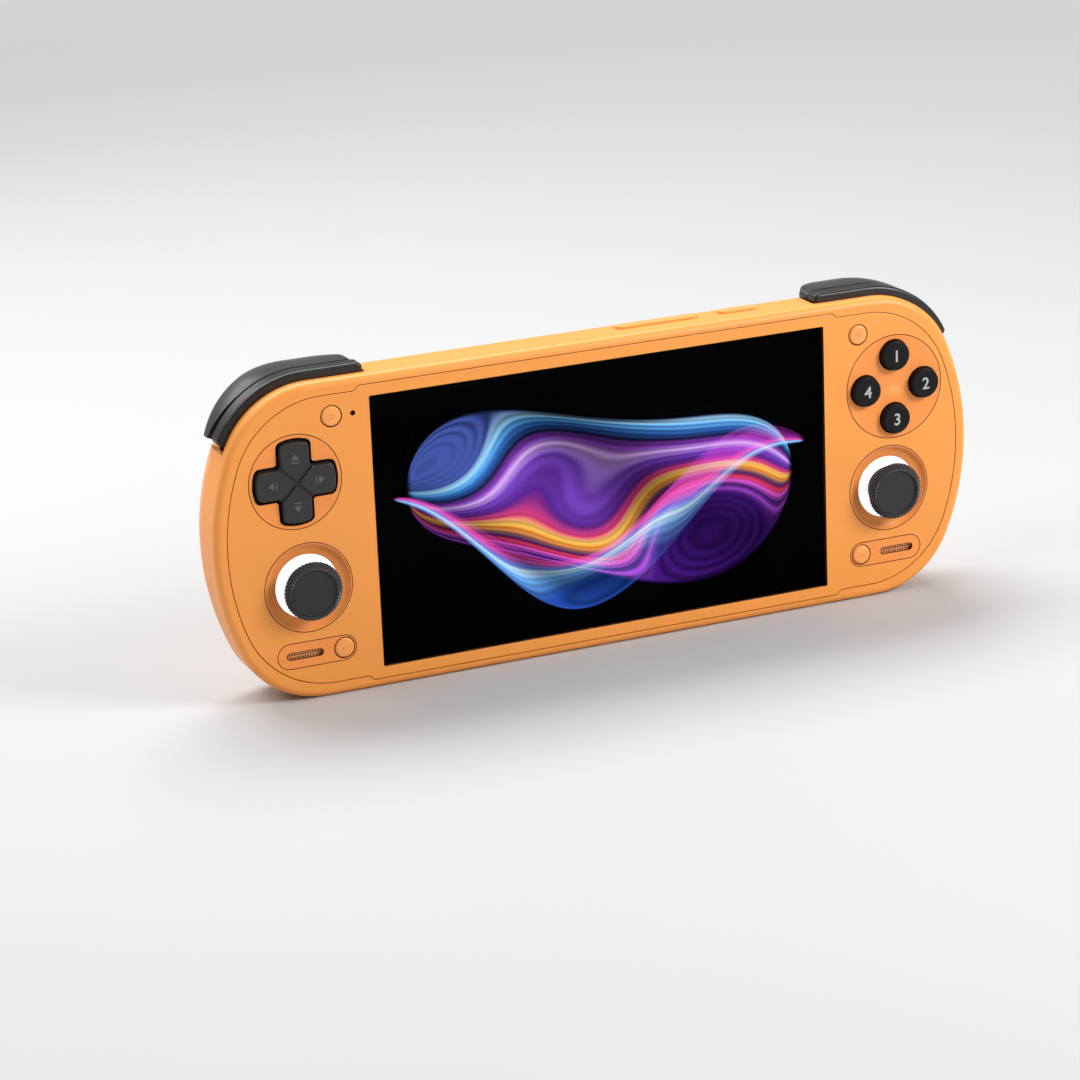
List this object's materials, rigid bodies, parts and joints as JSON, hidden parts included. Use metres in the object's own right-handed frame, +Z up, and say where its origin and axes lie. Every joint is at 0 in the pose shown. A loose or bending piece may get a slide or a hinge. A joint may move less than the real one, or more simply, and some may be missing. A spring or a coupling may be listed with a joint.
{
  "type": "handheld game console",
  "caption": "Handheld game console with a wide screen between two grips, a direction pad, round face buttons, tilting thumbsticks, shoulder buttons, triggers and edge keys",
  "frame": {"origin": "bottom centre of the whole object's box, on the surface that its lower long edge stands on", "axes": "+X to the right as seen by the player, -Y out of the face, +Z up the face"},
  "size_m": [0.2036, 0.0286, 0.081],
  "materials": {
    "orange_shell": "satin",
    "orange_insert": "satin",
    "orange_keys": "satin",
    "black_plastic": "satin",
    "grey_plastic": "semi-gloss",
    "black_rubber": "matte",
    "white_light": "diffusing",
    "cover_glass": "polished",
    "display": "smooth",
    "steel": "brushed",
    "mesh_lacquer": "lacquered metal",
    "stick_works": "smooth",
    "circuit_board": "smooth",
    "battery_wrap": "smooth",
    "aluminium": "machined"
  },
  "bodies": {
    "console": {"battery": "battery_wrap", "button_dish": "orange_insert", "button_membrane": "black_rubber", "card_socket": "steel", "cover_glass": "cover_glass", "display_panel": "display", "display_tray": "steel", "faceplate": "orange_shell", "fan_housing": "black_plastic", "front_shell": "orange_shell", "headphone_jack": "black_plastic", "heat_sink": "aluminium", "left_button_board": "circuit_board", "left_light_ring": "white_light", "left_speaker": "black_plastic", "left_speaker_cover": "orange_insert", "left_speaker_mesh": "mesh_lacquer", "left_stick_bezel": "orange_insert", "left_stick_housing": "black_plastic", "mainboard": "circuit_board", "pad_dish": "orange_insert", "pad_membrane": "black_rubber", "port_board": "circuit_board", "push_switches": "steel", "rear_shell": "orange_shell", "right_button_board": "circuit_board", "right_light_ring": "white_light", "right_speaker": "black_plastic", "right_speaker_cover": "orange_insert", "right_speaker_mesh": "mesh_lacquer", "right_stick_bezel": "orange_insert", "right_stick_housing": "black_plastic", "shell_screws": "steel", "shoulder_pins": "steel", "trigger_pins": "steel", "trigger_springs": "steel", "usb_socket": "steel"},
    "pad_rocker": {"pad_pivot": "black_plastic"},
    "pad": {"direction_pad": "black_plastic"},
    "left_shoulder": {"left_shoulder_button": "black_plastic"},
    "right_shoulder": {"right_shoulder_button": "black_plastic"},
    "left_trigger_body": {"left_trigger": "grey_plastic"},
    "right_trigger_body": {"right_trigger": "grey_plastic"},
    "volume": {"volume_rocker": "orange_keys"},
    "power": {"power_button": "orange_keys"},
    "fan": {"fan_rotor": "black_plastic"},
    "button_1": {"face_button_1": "black_plastic"},
    "button_2": {"face_button_2": "black_plastic"},
    "button_3": {"face_button_3": "black_plastic"},
    "button_4": {"face_button_4": "black_plastic"},
    "upper_left": {"upper_left_button": "orange_keys"},
    "upper_right": {"upper_right_button": "orange_keys"},
    "lower_left": {"lower_left_button": "orange_keys"},
    "lower_right": {"lower_right_button": "orange_keys"},
    "left_yoke": {"left_stick_yoke": "stick_works"},
    "left_shaft": {"left_stick_shaft": "stick_works"},
    "left_cap": {"left_stick_cap": "black_rubber"},
    "right_yoke": {"right_stick_yoke": "stick_works"},
    "right_shaft": {"right_stick_shaft": "stick_works"},
    "right_cap": {"right_stick_cap": "black_rubber"}
  },
  "joints": [
    {"name": "pad_tilt_sideways", "type": "hinge", "parent": "console", "child": "pad_rocker", "pos_m": [-0.08062, -0.00495, 0.0553], "axis": [0, 0, 1], "range_deg": [-4, 4], "stiffness_Nm_per_rad": 0.2},
    {"name": "pad_tilt_up_down", "type": "hinge", "parent": "pad_rocker", "child": "pad", "pos_m": [-0.08062, -0.00495, 0.0553], "axis": [1, 0, 0], "range_deg": [-4, 4], "stiffness_Nm_per_rad": 0.2},
    {"name": "face_button_1_press", "type": "slide", "parent": "console", "child": "button_1", "axis": [0, 1, 0], "range_m": [0, 0.0012], "stiffness_N_per_m": 400},
    {"name": "face_button_2_press", "type": "slide", "parent": "console", "child": "button_2", "axis": [0, 1, 0], "range_m": [0, 0.0012], "stiffness_N_per_m": 400},
    {"name": "face_button_3_press", "type": "slide", "parent": "console", "child": "button_3", "axis": [0, 1, 0], "range_m": [0, 0.0012], "stiffness_N_per_m": 400},
    {"name": "face_button_4_press", "type": "slide", "parent": "console", "child": "button_4", "axis": [0, 1, 0], "range_m": [0, 0.0012], "stiffness_N_per_m": 400},
    {"name": "upper_left_press", "type": "slide", "parent": "console", "child": "upper_left", "axis": [0, 1, 0], "range_m": [0, 0.0004], "stiffness_N_per_m": 1500},
    {"name": "upper_right_press", "type": "slide", "parent": "console", "child": "upper_right", "axis": [0, 1, 0], "range_m": [0, 0.0004], "stiffness_N_per_m": 1500},
    {"name": "lower_left_press", "type": "slide", "parent": "console", "child": "lower_left", "axis": [0, 1, 0], "range_m": [0, 0.0004], "stiffness_N_per_m": 1500},
    {"name": "lower_right_press", "type": "slide", "parent": "console", "child": "lower_right", "axis": [0, 1, 0], "range_m": [0, 0.0004], "stiffness_N_per_m": 1500},
    {"name": "left_stick_up_down", "type": "hinge", "parent": "console", "child": "left_yoke", "pos_m": [-0.07888, -0.00035, 0.02858], "axis": [1, 0, 0], "range_deg": [-12, 12], "stiffness_Nm_per_rad": 0.08},
    {"name": "left_stick_sideways", "type": "hinge", "parent": "left_yoke", "child": "left_shaft", "pos_m": [-0.07888, -0.00035, 0.02858], "axis": [0, 0, 1], "range_deg": [-12, 12], "stiffness_Nm_per_rad": 0.08},
    {"name": "left_stick_click", "type": "slide", "parent": "left_shaft", "child": "left_cap", "axis": [0, 1, 0], "range_m": [0, 0.0005], "stiffness_N_per_m": 1500},
    {"name": "left_shoulder_press", "type": "hinge", "parent": "console", "child": "left_shoulder", "pos_m": [-0.0642, -0.00315, 0.0771], "axis": [0, -1, 0], "range_deg": [0, 2.2], "stiffness_Nm_per_rad": 1},
    {"name": "left_trigger_pull", "type": "hinge", "parent": "console", "child": "left_trigger_body", "pos_m": [-0.067, 0.00225, 0.0764], "axis": [-1, 0, 0], "range_deg": [0, 10], "stiffness_Nm_per_rad": 0.1},
    {"name": "right_stick_up_down", "type": "hinge", "parent": "console", "child": "right_yoke", "pos_m": [0.07888, -0.00035, 0.02858], "axis": [1, 0, 0], "range_deg": [-12, 12], "stiffness_Nm_per_rad": 0.08},
    {"name": "right_stick_sideways", "type": "hinge", "parent": "right_yoke", "child": "right_shaft", "pos_m": [0.07888, -0.00035, 0.02858], "axis": [0, 0, 1], "range_deg": [-12, 12], "stiffness_Nm_per_rad": 0.08},
    {"name": "right_stick_click", "type": "slide", "parent": "right_shaft", "child": "right_cap", "axis": [0, 1, 0], "range_m": [0, 0.0005], "stiffness_N_per_m": 1500},
    {"name": "right_shoulder_press", "type": "hinge", "parent": "console", "child": "right_shoulder", "pos_m": [0.0642, -0.00315, 0.0771], "axis": [0, 1, 0], "range_deg": [0, 2.2], "stiffness_Nm_per_rad": 1},
    {"name": "right_trigger_pull", "type": "hinge", "parent": "console", "child": "right_trigger_body", "pos_m": [0.067, 0.00225, 0.0764], "axis": [-1, 0, 0], "range_deg": [0, 10], "stiffness_Nm_per_rad": 0.1},
    {"name": "volume_rock", "type": "hinge", "parent": "console", "child": "volume", "pos_m": [0.01865, -0.00135, 0.0761], "axis": [0, 1, 0], "range_deg": [-1.5, 1.5], "stiffness_Nm_per_rad": 0.5},
    {"name": "power_press", "type": "slide", "parent": "console", "child": "power", "axis": [0, 0, -1], "range_m": [0, 0.00035], "stiffness_N_per_m": 1500},
    {"name": "fan_spin", "type": "hinge", "parent": "console", "child": "fan", "pos_m": [-0.022, 0.00015, 0.0564], "axis": [0, 1, 0], "continuous": true}
  ]
}
